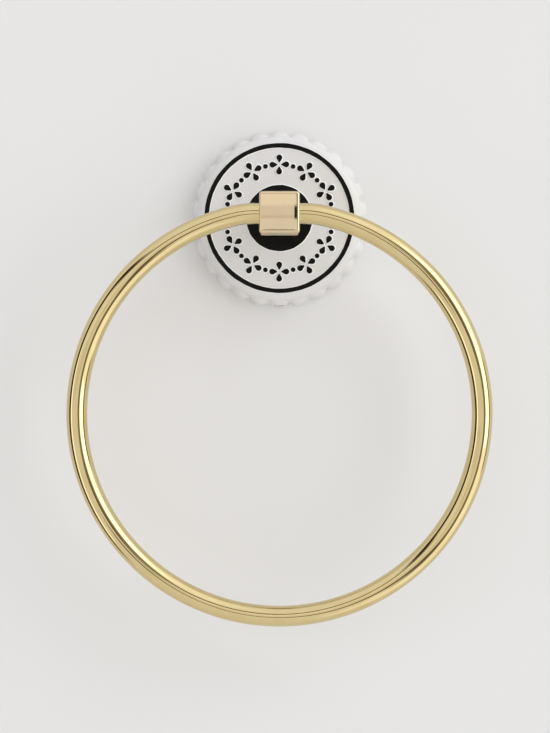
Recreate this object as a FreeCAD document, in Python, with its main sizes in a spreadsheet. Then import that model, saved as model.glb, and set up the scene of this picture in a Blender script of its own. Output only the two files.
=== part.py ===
"""Towel ring: a scalloped ceramic rosette on a hidden wall bracket, a brass block and a loose ring.

Every piece is drawn in the same local frame: X to the right, Y up and Z straight out of the wall,
with Z = 0 on the wall and the rosette's axis at X = Y = 0. Each piece's Placement then stands that
frame up, so that in the model the wall is the plane Y = 0, the object hangs towards -Y and Z is up.
"""

import FreeCAD
import Part
import Sketcher
from FreeCAD import Rotation, Vector

import math
import os

DRIVING_SIZES = [
    # Ceramic rosette
    ("rosette_depth", 9.5, "wall to the flat face of the rosette"),
    ("crest_radius", 33.2, "rosette axis to the crest of a lobe at the wall"),
    ("lobe_count", 26, "lobes round the edge"),
    ("lobe_radius", 5.0, "roundness of one lobe at the lip"),
    ("lip_height", 0.9, "flared lip that lies on the wall"),
    ("crease_depth", 0.6, "step from the lip in to the petals"),
    ("petal_mid_height", 5.2, "height of the petal's middle section"),
    ("petal_mid_inset", 0.6, "crest there, in from the petal's foot"),
    ("petal_top_drop", 0.8, "face down to where a petal has sunk into the shoulder"),
    ("petal_top_inset", 3.4, "crest there, in from the petal's foot"),
    ("petal_top_radius", 3.7, "roundness of a petal at its top"),
    ("body_inset", 2.6, "crest of a lobe in to the round body between the petals"),
    ("shoulder_width", 2.6, "body's side in to the edge of the flat face"),
    ("shoulder_drop", 3.2, "height of the rounded shoulder"),
    ("shoulder_radius", 3.1, "roundness of the shoulder"),
    ("face_wall", 3.5, "thickness of the ceramic face"),
    ("skirt_wall", 5.1, "body's side in to the hollow back"),
    # Raised ornament on the face
    ("relief_height", 0.5, "raised work above the face"),
    ("line_margin", 0.2, "edge of the flat face in to the raised circle line"),
    ("line_width", 1.7, "raised circle line, width"),
    ("disc_radius", 12.3, "raised disc under the block"),
    ("flower_count", 12, "flowers round the band"),
    ("flower_circle_radius", 19.85, "circle through the flowers' centres"),
    ("drop_start", 0.5, "flower's centre to a petal's point"),
    ("drop_centre", 2.6, "flower's centre to the middle of a petal's round end"),
    ("drop_radius", 1.1, "round end of a petal"),
    ("dot_radius", 0.9, "dot between two flowers"),
    # Brass block and its neck
    ("block_width", 14.5, "across, along the ring's bar"),
    ("block_height", 15.0, "up and down"),
    ("block_ahead", 8.0, "ring's plane out to the block's crowned front"),
    ("block_behind", 7.5, "ring's plane back to the block's back"),
    ("block_crown", 0.35, "rise of the crowned front"),
    ("block_long_round", 1.1, "roundness of the four long edges"),
    ("block_side_round", 0.9, "roundness of the edges of the two bored sides"),
    ("neck_radius", 5.0, "turned neck behind the block"),
    ("tapped_run_out", 2.6, "screw's end to the bottom of its tapped hole"),
    # Ring
    ("ring_radius", 72.85, "ring's centre to the middle of its bar"),
    ("bar_radius", 3.75, "round bar of the ring"),
    ("ring_straight", 1.75, "side of the block to where the bar starts to bend"),
    ("ring_bend_radius", 30.0, "bend between the straight part and the round of the ring"),
    ("ring_plane", 33.5, "wall to the ring's plane"),
    ("bore_clearance", 0.32, "between the bar and its bore"),
    ("bore_bevel", 0.3, "bevel at the mouths of the bore"),
    # Clamp screw with its washers
    ("screw_radius", 2.5, "M5 thread"),
    ("screw_length", 16.0, "under the head"),
    ("screw_point", 0.5, "bevel at the screw's end"),
    ("head_radius", 4.75, "button head"),
    ("head_height", 2.4, "button head"),
    ("head_round", 1.6, "rounding of the button head"),
    ("head_socket", 3.0, "hexagon socket across flats"),
    ("socket_depth", 1.5, "hexagon socket"),
    ("thread_clearance", 0.05, "between a screw and its tapped hole"),
    ("screw_clearance", 0.3, "between a screw and a plain hole"),
    ("lock_washer_thickness", 0.6, "toothed washer under the head"),
    ("lock_washer_radius", 4.6, "toothed washer, root of its teeth"),
    ("lock_tooth_count", 12, "teeth of the washer"),
    ("lock_tooth_length", 0.7, "teeth of the washer"),
    ("lock_tooth_width", 1.0, "teeth of the washer"),
    ("gasket_thickness", 0.5, "soft washers on both sides of the ceramic"),
    # Brass seat inside the rosette
    ("seat_floor", 1.0, "floor of the seat"),
    ("seat_wall", 3.6, "wall of the seat, long enough for the set screw's thread"),
    ("seat_clearance", 0.4, "between the seat and the rosette's hollow"),
    ("wall_clearance", 0.3, "between the seat's rim and the wall"),
    ("back_gasket_margin", 1.2, "seat's edge to the edge of the soft washer"),
    # Wall bracket
    ("bracket_clearance", 0.35, "between the bracket and the inside of the seat"),
    ("bracket_undercut", 1.2, "bracket's edge draws in towards the wall"),
    ("bracket_plate", 2.0, "thickness of the plate"),
    ("bracket_top_gap", 0.5, "bracket's rim to the floor of the seat"),
    ("bracket_rim", 2.4, "width of the rim"),
    ("bracket_eye_clearance", 1.5, "clamp screw's head to the edge of the hole round it"),
    ("wall_hole_radius", 2.25, "hole for a 4 mm wall screw"),
    ("wall_hole_sink", 1.1, "depth of the countersink"),
    # Set screw
    ("set_screw_radius", 1.5, "M3 thread"),
    ("set_screw_length", 6.0, "with its point"),
    ("set_screw_point", 1.0, "cone at the inner end"),
    ("set_screw_tip", 0.6, "flat at the end of the cone"),
    ("set_screw_gap", 0.05, "point to the bracket"),
    ("set_screw_socket", 1.5, "hexagon socket across flats"),
    ("set_screw_hole", 0.4, "between the set screw and its hole in the ceramic"),
]

STAND_UP = Rotation(Vector(1, 0, 0), 90)
# Edges this close to a wanted place are the ones meant
NEAR = 0.01
# Holes are cut this far past the face that they come out of
PAST_FACE = 1.0

doc = FreeCAD.newDocument("towel_ring")
sheet = doc.addObject("Spreadsheet::Sheet", "Sizes")


class Size:
    """A number together with the expression that ties it to the sheet."""

    def __init__(self, value, text):
        self.value = value
        self.text = text

    def joined(self, other, sign, result):
        other_text = other.text if isinstance(other, Size) else repr(other)
        return Size(result, f"({self.text} {sign} {other_text})")

    def __add__(self, other):
        return self.joined(other, "+", self.value + number(other))

    def __sub__(self, other):
        return self.joined(other, "-", self.value - number(other))

    def __mul__(self, other):
        return self.joined(other, "*", self.value * number(other))

    def __truediv__(self, other):
        return self.joined(other, "/", self.value / number(other))

    def __neg__(self):
        return Size(-self.value, f"(-1 * {self.text})")


def number(size):
    return size.value if isinstance(size, Size) else size


def square_root(size):
    return Size(math.sqrt(size.value), f"sqrt({size.text})")


def sine(angle_in_degrees):
    angle = math.radians(angle_in_degrees.value)
    return Size(math.sin(angle), f"sin({angle_in_degrees.text})")


def cosine(angle_in_degrees):
    angle = math.radians(angle_in_degrees.value)
    return Size(math.cos(angle), f"cos({angle_in_degrees.text})")


def fill_sheet():
    """Write the driving sizes into the sheet and return them by name."""
    sizes = {}
    for row, (name, value, meaning) in enumerate(DRIVING_SIZES, start=1):
        sheet.set(f"A{row}", name)
        sheet.set(f"B{row}", str(value))
        sheet.set(f"C{row}", meaning)
        sheet.setAlias(f"B{row}", name)
        sizes[name] = Size(value, f"Sizes.{name}")
    doc.recompute()
    return sizes


size = fill_sheet()


def bind(thing, path, value):
    """Tie a property to a size, or set it to a plain number."""
    if isinstance(value, Size):
        thing.setExpression(path, value.text)
    else:
        setattr(thing, path, value)


def new_body(name):
    body = doc.addObject("PartDesign::Body", name)
    body.Label = name
    body.Placement.Rotation = STAND_UP
    return body


def origin_feature(body, role):
    return next(item for item in body.Origin.OriginFeatures if item.Role == role)


def new_sketch(body, name, plane="XY_Plane", height=None):
    """A sketch on one of the body's own planes, lifted off it by height."""
    sketch = body.newObject("Sketcher::SketchObject", name)
    sketch.AttachmentSupport = [(origin_feature(body, plane), "")]
    sketch.MapMode = "FlatFace"
    if height is not None:
        bind(sketch, "AttachmentOffset.Base.z", height)
    return sketch


def pin_point(sketch, geometry, end, x, y):
    """Hold one point of the sketch at a place given by two sizes."""
    for kind, axis, value in (("DistanceX", -2, x), ("DistanceY", -1, y)):
        if number(value) == 0:
            sketch.addConstraint(Sketcher.Constraint("PointOnObject", geometry, end, axis))
            continue
        index = sketch.addConstraint(
            Sketcher.Constraint(kind, -1, 1, geometry, end, number(value))
        )
        if isinstance(value, Size):
            sketch.setExpression(f"Constraints[{index}]", value.text)


def set_radius(sketch, geometry, radius):
    index = sketch.addConstraint(Sketcher.Constraint("Radius", geometry, radius.value))
    sketch.setExpression(f"Constraints[{index}]", radius.text)


def draw_circle(sketch, x, y, radius):
    centre = Vector(number(x), number(y), 0)
    circle = sketch.addGeometry(Part.Circle(centre, Vector(0, 0, 1), radius.value))
    pin_point(sketch, circle, 3, x, y)
    set_radius(sketch, circle, radius)


def draw_outline(sketch, corners, arcs=None):
    """Draw a closed outline through corners, drawn anticlockwise.

    arcs maps the number of a corner to (radius, bulge) where the way from it to the next corner
    is an arc; a bulge of 1 curves outwards and one of -1 inwards.
    """
    arcs = arcs or {}
    places = [Vector(number(x), number(y), 0) for x, y in corners]
    starts = []
    ends = []
    for index, begin in enumerate(places):
        finish = places[(index + 1) % len(places)]
        if index not in arcs:
            line = sketch.addGeometry(Part.LineSegment(begin, finish))
            starts.append((line, 1))
            ends.append((line, 2))
            continue
        radius, bulge = arcs[index]
        middle = (begin + finish) / 2
        along = finish - begin
        left = Vector(-along.y, along.x, 0).normalize()
        reach = math.sqrt(max(radius.value**2 - (along.Length / 2) ** 2, 0))
        centre = middle + left * (reach * bulge)
        first, last = (begin, finish) if bulge > 0 else (finish, begin)
        circle = Part.Circle(centre, Vector(0, 0, 1), radius.value)
        turn = [math.atan2((p - centre).y, (p - centre).x) for p in (first, last)]
        arc = sketch.addGeometry(Part.ArcOfCircle(circle, turn[0], turn[1]))
        starts.append((arc, 1 if bulge > 0 else 2))
        ends.append((arc, 2 if bulge > 0 else 1))
        set_radius(sketch, arc, radius)
    for index, (x, y) in enumerate(corners):
        sketch.addConstraint(Sketcher.Constraint("Coincident", *ends[index - 1], *starts[index]))
        pin_point(sketch, *starts[index], x, y)


def draw_hexagon(sketch, across_flats):
    """A regular hexagon round the sketch's origin with two upright sides."""
    corner = across_flats / math.sqrt(3)
    half = across_flats / 2
    corners = [
        (half, -corner / 2),
        (half, corner / 2),
        (0, corner),
        (-half, corner / 2),
        (-half, -corner / 2),
        (0, -corner),
    ]
    draw_outline(sketch, corners)


def pad(body, sketch, name, length, both_ways=False):
    feature = body.newObject("PartDesign::Pad", name)
    feature.Profile = sketch
    bind(feature, "Length", length)
    if both_ways:
        feature.SideType = "Symmetric"
    return feature


def revolve(body, sketch, name):
    feature = body.newObject("PartDesign::Revolution", name)
    feature.Profile = sketch
    feature.ReferenceAxis = (sketch, ["V_Axis"])
    feature.Angle = 360
    return feature


def pocket(body, sketch, name, length=None, reverse=False, both_ways=False):
    """Cut a sketch out of the body, all the way through unless a length is given."""
    doc.recompute()
    before = body.Shape.Volume
    feature = body.newObject("PartDesign::Pocket", name)
    feature.Profile = sketch
    if length is None:
        feature.Type = "ThroughAll"
    else:
        bind(feature, "Length", length)
    if both_ways:
        feature.SideType = "Symmetric"
    feature.Reversed = reverse
    doc.recompute()
    if body.Shape.Volume >= before:
        raise RuntimeError(f"{name} cuts nothing")
    return feature


def repeat_round(body, features, name, count):
    """Repeat features round the body's own Z axis."""
    pattern = body.newObject("PartDesign::PolarPattern", name)
    pattern.Originals = features
    pattern.Axis = (origin_feature(body, "Z_Axis"), [""])
    pattern.Angle = 360
    bind(pattern, "Occurrences", count)
    body.Tip = pattern
    return pattern


def edges_where(body, test):
    """The names of the body's edges whose middle passes the test."""
    doc.recompute()
    names = []
    for index, edge in enumerate(body.Tip.Shape.Edges, start=1):
        middle = edge.valueAt((edge.FirstParameter + edge.LastParameter) / 2)
        if test(middle):
            names.append(f"Edge{index}")
    return names


def dress(body, kind, name, edges, amount):
    """Round (Fillet) or bevel (Chamfer) the named edges."""
    before = body.Tip
    feature = body.newObject(f"PartDesign::{kind}", name)
    feature.Base = (before, edges)
    bind(feature, "Radius" if kind == "Fillet" else "Size", amount)
    body.Tip = feature
    return feature


# Places and sizes that more than one piece shares

body_radius = size["crest_radius"] - size["body_inset"]
face_radius = body_radius - size["shoulder_width"]
cavity_radius = body_radius - size["skirt_wall"]
relief_top = size["rosette_depth"] + size["relief_height"]
neck_foot = relief_top + size["gasket_thickness"]
block_front = size["ring_plane"] + size["block_ahead"]
block_back = size["ring_plane"] - size["block_behind"]
half_bore = size["block_width"] / 2
bore_radius = size["bar_radius"] + size["bore_clearance"]

cavity_top = size["rosette_depth"] - size["face_wall"]
seat_top = cavity_top - size["gasket_thickness"]
seat_inside_top = seat_top - size["seat_floor"]
seat_outer = cavity_radius - size["seat_clearance"]
seat_inner = seat_outer - size["seat_wall"]
bracket_outer = seat_inner - size["bracket_clearance"]
bracket_foot = bracket_outer - size["bracket_undercut"]
bracket_rim_top = seat_inside_top - size["bracket_top_gap"]

shank_radius = size["screw_radius"] - size["thread_clearance"]
screw_hole_radius = shank_radius + size["screw_clearance"]
head_face = seat_inside_top - size["lock_washer_thickness"]
screw_tip = head_face + size["screw_length"]
set_screw_height = (seat_top + size["wall_clearance"]) / 2  # middle of the seat's wall
flower_half_angle = Size(180 / size["flower_count"].value, "(180 deg / Sizes.flower_count)")


def make_rosette():
    """Ceramic rosette: a hollow domed body, a ring of petals on a flared lip, and raised work."""
    body = new_body("rosette")
    profile = new_sketch(body, "rosette_section", "XZ_Plane")
    draw_outline(
        profile,
        [
            (0, 0),
            (body_radius, 0),
            (body_radius, size["rosette_depth"] - size["shoulder_drop"]),
            (face_radius, size["rosette_depth"]),
            (0, size["rosette_depth"]),
        ],
        {2: (size["shoulder_radius"], 1)},
    )
    revolve(body, profile, "rosette_body")

    # One lobe of the lip and one petal above it, then all of them round the edge
    lobe_centre = size["crest_radius"] - size["lobe_radius"]
    lip = new_sketch(body, "lip_lobe")
    draw_circle(lip, 0, -lobe_centre, size["lobe_radius"])
    lip_pad = pad(body, lip, "lip", size["lip_height"])

    foot_radius = size["lobe_radius"] - size["crease_depth"]
    foot_crest = lobe_centre + foot_radius
    middle_crest = foot_crest - size["petal_mid_inset"]
    top_crest = foot_crest - size["petal_top_inset"]
    petal_top_height = size["rosette_depth"] - size["petal_top_drop"]
    sections = []
    for name, height, crest, radius in (
        ("petal_foot", size["lip_height"] / 2, foot_crest, foot_radius),
        ("petal_middle", size["petal_mid_height"], middle_crest, foot_radius),
        ("petal_top", petal_top_height, top_crest, size["petal_top_radius"]),
    ):
        section = new_sketch(body, name, height=height)
        draw_circle(section, 0, radius - crest, radius)
        sections.append(section)
    petal = body.newObject("PartDesign::AdditiveLoft", "petal")
    petal.Profile = sections[0]
    petal.Sections = sections[1:]
    repeat_round(body, [lip_pad, petal], "lobes", size["lobe_count"])

    # Raised circle line and disc
    circles = new_sketch(body, "line_and_disc", height=size["rosette_depth"])
    line_outer = face_radius - size["line_margin"]
    for radius in (line_outer, line_outer - size["line_width"], size["disc_radius"]):
        draw_circle(circles, 0, 0, radius)
    pad(body, circles, "line_and_disc_relief", size["relief_height"])

    # A flower of four drops and the dot beside it, then all of them round the band
    flower = new_sketch(body, "flower_outline", height=size["rosette_depth"])
    bind(flower, "AttachmentOffset.Base.y", size["flower_circle_radius"])
    draw_flower(flower)
    flower_pad = pad(body, flower, "flower_relief", size["relief_height"])
    dot = new_sketch(body, "dot_outline", height=size["rosette_depth"])
    dot_x = size["flower_circle_radius"] * sine(flower_half_angle)
    dot_y = size["flower_circle_radius"] * cosine(flower_half_angle)
    draw_circle(dot, dot_x, dot_y, size["dot_radius"])
    dot_pad = pad(body, dot, "dot_relief", size["relief_height"])
    repeat_round(body, [flower_pad, dot_pad], "flowers_and_dots", size["flower_count"])

    # Hollow back and the holes for the clamp screw and, through the underside, for the set screw
    hollow = new_sketch(body, "hollow_round")
    draw_circle(hollow, 0, 0, cavity_radius)
    pocket(body, hollow, "hollow_back", cavity_top, reverse=True)
    screw_way = new_sketch(body, "clamp_screw_round")
    draw_circle(screw_way, 0, 0, screw_hole_radius)
    pocket(body, screw_way, "clamp_screw_hole", relief_top + PAST_FACE, reverse=True)
    way_in = new_sketch(body, "set_screw_way", "XZ_Plane")
    hole_radius = size["set_screw_radius"] + size["set_screw_hole"]
    draw_circle(way_in, 0, set_screw_height, hole_radius)
    pocket(body, way_in, "set_screw_hole", size["crest_radius"] + PAST_FACE, reverse=True)
    return body


def draw_flower(sketch):
    """Four drops in a cross, each with its point near the sketch's origin."""
    start, centre, radius = size["drop_start"], size["drop_centre"], size["drop_radius"]
    reach = centre - start
    side = square_root(reach * reach - radius * radius)
    shoulder_x = radius * side / reach
    shoulder_y = centre - radius * radius / reach
    corners = [(0, start), (shoulder_x, shoulder_y), (0, centre + radius), (-shoulder_x, shoulder_y)]
    for _ in range(4):
        draw_outline(sketch, corners, {1: (radius, 1), 2: (radius, 1)})
        corners = [(-y, x) for x, y in corners]


def make_ring_block():
    """Brass block with a crowned front, a cross bore for the ring and a turned neck behind."""
    body = new_body("ring_block")
    side = new_sketch(body, "block_side", "YZ_Plane")
    half_height = size["block_height"] / 2
    crown_start = block_front - size["block_crown"]
    crown_radius = (half_height * half_height + size["block_crown"] * size["block_crown"]) / (
        size["block_crown"] * 2
    )
    draw_outline(
        side,
        [
            (-half_height, block_back),
            (half_height, block_back),
            (half_height, crown_start),
            (-half_height, crown_start),
        ],
        {2: (crown_radius, 1)},
    )
    pad(body, side, "block", size["block_width"], both_ways=True)

    long_edges = edges_where(
        body,
        lambda middle: abs(middle.x) < NEAR and abs(abs(middle.y) - half_height.value) < NEAR,
    )
    dress(body, "Fillet", "long_rounding", long_edges, size["block_long_round"])
    half_width = half_bore.value
    side_edges = edges_where(body, lambda middle: abs(abs(middle.x) - half_width) < NEAR)
    dress(body, "Fillet", "side_rounding", side_edges, size["block_side_round"])

    bore = new_sketch(body, "ring_bore", "YZ_Plane")
    draw_circle(bore, 0, size["ring_plane"], bore_radius)
    pocket(body, bore, "bore", both_ways=True)
    mouths = edges_where(
        body,
        lambda middle: abs(abs(middle.x) - half_width) < NEAR
        and abs(math.hypot(middle.y, middle.z - size["ring_plane"].value) - bore_radius.value) < NEAR,
    )
    dress(body, "Chamfer", "bore_mouths", mouths, size["bore_bevel"])

    neck = new_sketch(body, "neck_round", height=neck_foot)
    draw_circle(neck, 0, 0, size["neck_radius"])
    pad(body, neck, "neck", block_back - neck_foot)
    tapped = new_sketch(body, "tapped_round", height=neck_foot)
    draw_circle(tapped, 0, 0, size["screw_radius"])
    tapped_depth = screw_tip + size["tapped_run_out"] - neck_foot
    pocket(body, tapped, "tapped_hole", tapped_depth, reverse=True)
    return body


def make_towel_ring():
    """Ring bent from round brass bar, straight where it passes through the block's bore.

    Seen from the front its middle line is a straight length through the body's origin, a tighter
    bend at each end of it, and one large round that both bends run into without a corner.
    """
    body = new_body("towel_ring")
    body.setExpression("Placement.Base.y", (-size["ring_plane"]).text)
    section = new_sketch(body, "bar_section", "YZ_Plane")
    draw_circle(section, 0, 0, size["bar_radius"])

    straight = half_bore + size["ring_straight"]
    round_radius, bend_radius = size["ring_radius"], size["ring_bend_radius"]
    between = round_radius - bend_radius
    rise = square_root(between * between - straight * straight)
    centre_y = -(bend_radius + rise)
    meet_x = round_radius * straight / between
    meet_y = centre_y + round_radius * rise / between
    path = new_sketch(body, "ring_path")
    draw_outline(
        path,
        [
            (0, 0),
            (-straight, 0),
            (-meet_x, meet_y),
            (0, centre_y - round_radius),
            (meet_x, meet_y),
            (straight, 0),
        ],
        {1: (bend_radius, 1), 2: (round_radius, 1), 3: (round_radius, 1), 4: (bend_radius, 1)},
    )
    ring = body.newObject("PartDesign::AdditivePipe", "ring")
    ring.Profile = section
    ring.Spine = path
    return body


def make_turned(name, corners, arcs=None):
    """A piece turned to one section, given as (radius, height above the wall)."""
    body = new_body(name)
    section = new_sketch(body, f"{name}_section", "XZ_Plane")
    draw_outline(section, corners, arcs)
    revolve(body, section, f"{name}_turned")
    return body


def flat_ring(inner, outer, low, high):
    return [(inner, low), (outer, low), (outer, high), (inner, high)]


def make_neck_washer():
    return make_turned(
        "neck_washer", flat_ring(screw_hole_radius, size["neck_radius"], relief_top, neck_foot)
    )


def make_back_washer():
    outer = seat_outer - size["back_gasket_margin"]
    return make_turned("back_washer", flat_ring(screw_hole_radius, outer, seat_top, cavity_top))


def make_seat():
    """Brass cup clamped inside the rosette; it slips over the bracket and holds the set screw."""
    body = make_turned(
        "seat_cup",
        [
            (screw_hole_radius, seat_inside_top),
            (seat_inner, seat_inside_top),
            (seat_inner, size["wall_clearance"]),
            (seat_outer, size["wall_clearance"]),
            (seat_outer, seat_top),
            (screw_hole_radius, seat_top),
        ],
    )
    tapped = new_sketch(body, "seat_tapped_round", "XZ_Plane")
    draw_circle(tapped, 0, set_screw_height, size["set_screw_radius"])
    pocket(body, tapped, "seat_tapped_hole", seat_outer + PAST_FACE, reverse=True)
    return body


def make_lock_washer():
    """Toothed washer that keeps the clamp screw from turning loose."""
    body = make_turned(
        "lock_washer",
        flat_ring(screw_hole_radius, size["lock_washer_radius"], head_face, seat_inside_top),
    )
    tooth = new_sketch(body, "tooth_outline", height=head_face)
    half = size["lock_tooth_width"] / 2
    root = size["lock_washer_radius"] - size["lock_tooth_width"] / 2
    tip = size["lock_washer_radius"] + size["lock_tooth_length"]
    draw_outline(tooth, [(-half, root), (half, root), (half, tip), (-half, tip)])
    tooth_pad = pad(body, tooth, "tooth", size["lock_washer_thickness"])
    repeat_round(body, [tooth_pad], "teeth", size["lock_tooth_count"])
    return body


def make_clamp_screw():
    """Button-head screw that pulls the block, the rosette and the seat together."""
    head_end = head_face - size["head_height"]
    head_shoulder = head_end + size["head_round"]
    body = make_turned(
        "clamp_screw",
        [
            (0, head_end),
            (size["head_radius"] - size["head_round"], head_end),
            (size["head_radius"], head_shoulder),
            (size["head_radius"], head_face),
            (shank_radius, head_face),
            (shank_radius, screw_tip - size["screw_point"]),
            (shank_radius - size["screw_point"], screw_tip),
            (0, screw_tip),
        ],
        {1: (size["head_round"], 1)},
    )
    socket = new_sketch(body, "head_socket", height=head_end)
    draw_hexagon(socket, size["head_socket"])
    pocket(body, socket, "socket", size["socket_depth"], reverse=True)
    return body


def make_wall_bracket():
    """Dished bracket screwed to the wall, its edge drawn in so that the set screw pulls tight."""
    rim_inner = bracket_outer - size["bracket_rim"]
    eye = size["head_radius"] + size["bracket_eye_clearance"]
    body = make_turned(
        "wall_bracket",
        [
            (eye, 0),
            (bracket_foot, 0),
            (bracket_outer, bracket_rim_top),
            (rim_inner, bracket_rim_top),
            (rim_inner, size["bracket_plate"]),
            (eye, size["bracket_plate"]),
        ],
    )
    holes = new_sketch(body, "wall_hole_rounds")
    hole_x = (eye + rim_inner) / 2
    for x in (hole_x, -hole_x):
        draw_circle(holes, x, 0, size["wall_hole_radius"])
    pocket(body, holes, "wall_holes", bracket_rim_top, reverse=True)
    rims = edges_where(
        body,
        lambda middle: abs(middle.z - size["bracket_plate"].value) < NEAR
        and math.hypot(abs(middle.x) - hole_x.value, middle.y) < size["wall_hole_radius"].value + NEAR,
    )
    dress(body, "Chamfer", "countersinks", rims, size["wall_hole_sink"])
    return body


def make_set_screw():
    """Cone-point set screw, screwed up through the seat against the bracket."""
    radius = size["set_screw_radius"] - size["thread_clearance"]
    tip_radius = size["set_screw_tip"]
    # The bracket's slanting edge at the height of the point's upper side
    share = (set_screw_height + tip_radius) / bracket_rim_top
    bracket_edge = bracket_foot + size["bracket_undercut"] * share
    body = make_turned(
        "set_screw",
        [
            (0, 0),
            (tip_radius, 0),
            (radius, size["set_screw_point"]),
            (radius, size["set_screw_length"]),
            (0, size["set_screw_length"]),
        ],
    )
    body.Placement.Rotation = Rotation(Vector(1, 0, 0), 180)
    body.setExpression("Placement.Base.y", (-set_screw_height).text)
    body.setExpression("Placement.Base.z", (-(bracket_edge + size["set_screw_gap"])).text)
    socket = new_sketch(body, "set_screw_hexagon", height=size["set_screw_length"])
    draw_hexagon(socket, size["set_screw_socket"])
    pocket(body, socket, "set_screw_socket_hole", size["socket_depth"])
    return body


def main():
    pieces = [
        make_rosette(),
        make_ring_block(),
        make_towel_ring(),
        make_neck_washer(),
        make_back_washer(),
        make_seat(),
        make_lock_washer(),
        make_clamp_screw(),
        make_wall_bracket(),
        make_set_screw(),
    ]
    doc.recompute()
    for item in doc.Objects:
        if "Invalid" in item.State or "Error" in item.State:
            raise RuntimeError(f"{item.Label} did not recompute: {item.State}")
    os.makedirs("parts", exist_ok=True)
    for piece in pieces:
        if piece.Shape.isNull() or not piece.Shape.isValid():
            raise RuntimeError(f"{piece.Label} has no valid shape")
        piece.Shape.exportStep(f"parts/{piece.Label}.step")


main()
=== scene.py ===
"""Looks of the towel ring: glazed rosette, brass block, polished ring and the fixing behind them.

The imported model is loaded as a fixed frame. The wall is the plane Y = 0, the object stands off it
towards -Y, Z is up, and the rosette's axis is X = Z = 0. Sizes below are in millimetres and turned
to metres where a mesh is made.
"""

import logging
import math
from dataclasses import dataclass
from enum import Enum

import bpy
import numpy as np
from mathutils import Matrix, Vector

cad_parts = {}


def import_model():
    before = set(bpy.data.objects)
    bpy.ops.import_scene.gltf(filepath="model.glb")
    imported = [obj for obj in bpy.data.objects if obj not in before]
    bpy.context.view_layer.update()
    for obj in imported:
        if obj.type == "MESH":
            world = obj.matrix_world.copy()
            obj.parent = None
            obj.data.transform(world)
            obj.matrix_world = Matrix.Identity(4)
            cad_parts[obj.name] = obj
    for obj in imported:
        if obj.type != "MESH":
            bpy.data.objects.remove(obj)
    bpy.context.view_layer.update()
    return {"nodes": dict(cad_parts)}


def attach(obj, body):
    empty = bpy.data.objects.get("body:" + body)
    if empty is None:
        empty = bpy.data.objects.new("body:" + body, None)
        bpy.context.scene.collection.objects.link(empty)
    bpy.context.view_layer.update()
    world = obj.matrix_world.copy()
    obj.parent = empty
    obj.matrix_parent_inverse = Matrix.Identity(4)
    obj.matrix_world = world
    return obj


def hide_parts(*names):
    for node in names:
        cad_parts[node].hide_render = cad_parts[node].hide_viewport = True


MM = 0.001
WALL_BODY = "wall_part"
RING_BODY = "ring"
LOG = logging.getLogger("towel_ring")
Socket = bpy.types.NodeSocket

# Distance from the wall to the middle of the block's bore, where the ring hangs
RING_PLANE = 33.5
# Edges that a cut leaves stay sharp where their faces meet at more than this many degrees
SHARP_FROM = 50
# Marks on the rows of a glazed surface. A face is black where all its corners are marked above
# BLACK_FROM, a brighter white (painted highlight) where all are marked below the limit after it, and white
# elsewhere
WHITE_ROW = 0.0
EDGE_ROW = 0.5
BLACK_ROW = 1.0
# Rows at the foot of raised work, which take the brighter white of a painted highlight
PAINTED_HIGHLIGHT_ROW = -1.0
BLACK_FROM = 0.2
PAINTED_HIGHLIGHT_BELOW = -0.5
# Section of the glaze pooled at a foot: shares of its width outwards and of its height upwards
GLAZE_FOOT = ((1.0, 0.0), (0.6, 0.1), (0.28, 0.4), (0.06, 1.0))
# Section of the rosette's lip: height from the wall, and what is added to the lobes' radius there
LIP_SECTION = (
    (0.0, -0.16), (0.05, -0.05), (0.16, 0.0), (0.45, 0.0), (0.62, -0.02), (0.75, -0.09),
    (0.85, -0.22), (0.9, -0.4), (0.94, -0.52), (1.02, -0.6),
)
# The hand's wavering round a painted circle: waves in a turn, phase and share of each
HAND_WAVES = ((5, 0.7, 0.5), (17, 2.1, 0.6), (41, 4.0, 0.35))
# Rows across an end of the block, as shares of the way from its edge to the bore's mouth
END_ROWS = (0.04, 0.3, 0.65, 0.96, 1.0)
# The Mix node repeats its sockets' names for each kind of value, so colours go by number
UNDER, OVER, MIXED = 6, 7, 2


class Glazing(Enum):
    """Which of a ceramic piece's finishes a face takes, by its slot number."""

    WHITE = 0
    BLACK = 1
    # The brighter white painted round the foot of the raised work: a painted highlight
    PAINTED_HIGHLIGHT = 2


def linear(hex_colour: str, strength: float = 1.0) -> tuple[float, float, float, float]:
    """Turn an sRGB hex colour into Blender's linear colour.

    Args:
        hex_colour: Six hexadecimal digits after a hash sign.
        strength: How many times as bright the result is.

    Returns:
        Red, green, blue and an alpha of 1, all linear.
    """
    parts = [int(hex_colour[i : i + 2], 16) / 255 for i in (1, 3, 5)]
    red, green, blue = (
        strength * (c / 12.92 if c <= 0.04045 else ((c + 0.055) / 1.055) ** 2.4) for c in parts
    )
    return red, green, blue, 1.0


class NodeTree:
    """A material's or the world's node tree, filled one node at a time."""

    def __init__(self, tree: bpy.types.NodeTree) -> None:
        """Start with an empty tree."""
        tree.nodes.clear()
        self.tree = tree

    def add(
        self, kind: str, links: dict | None = None, stops: tuple[tuple[float, str], ...] = (), **settings
    ) -> bpy.types.bpy_prop_collection:
        """Add one node with its settings and links.

        Args:
            kind: The node's type name.
            links: Input name or number to either an output socket or a plain value.
            stops: Place and hex colour of each stop of a colour ramp, in rising order.
            **settings: Properties of the node itself.

        Returns:
            The new node's outputs.
        """
        node = self.tree.nodes.new(kind)
        for name, value in settings.items():
            setattr(node, name, value)
        for name, value in (links or {}).items():
            socket = node.inputs[name]
            if isinstance(value, Socket):
                self.tree.links.new(value, socket)
            else:
                socket.default_value = value
        if stops:
            elements = node.color_ramp.elements
            while len(elements) < len(stops):
                elements.new(0.5)
            for element, (place, colour) in zip(elements, stops, strict=True):
                element.position = place
                element.color = linear(colour)
        return node.outputs


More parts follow.
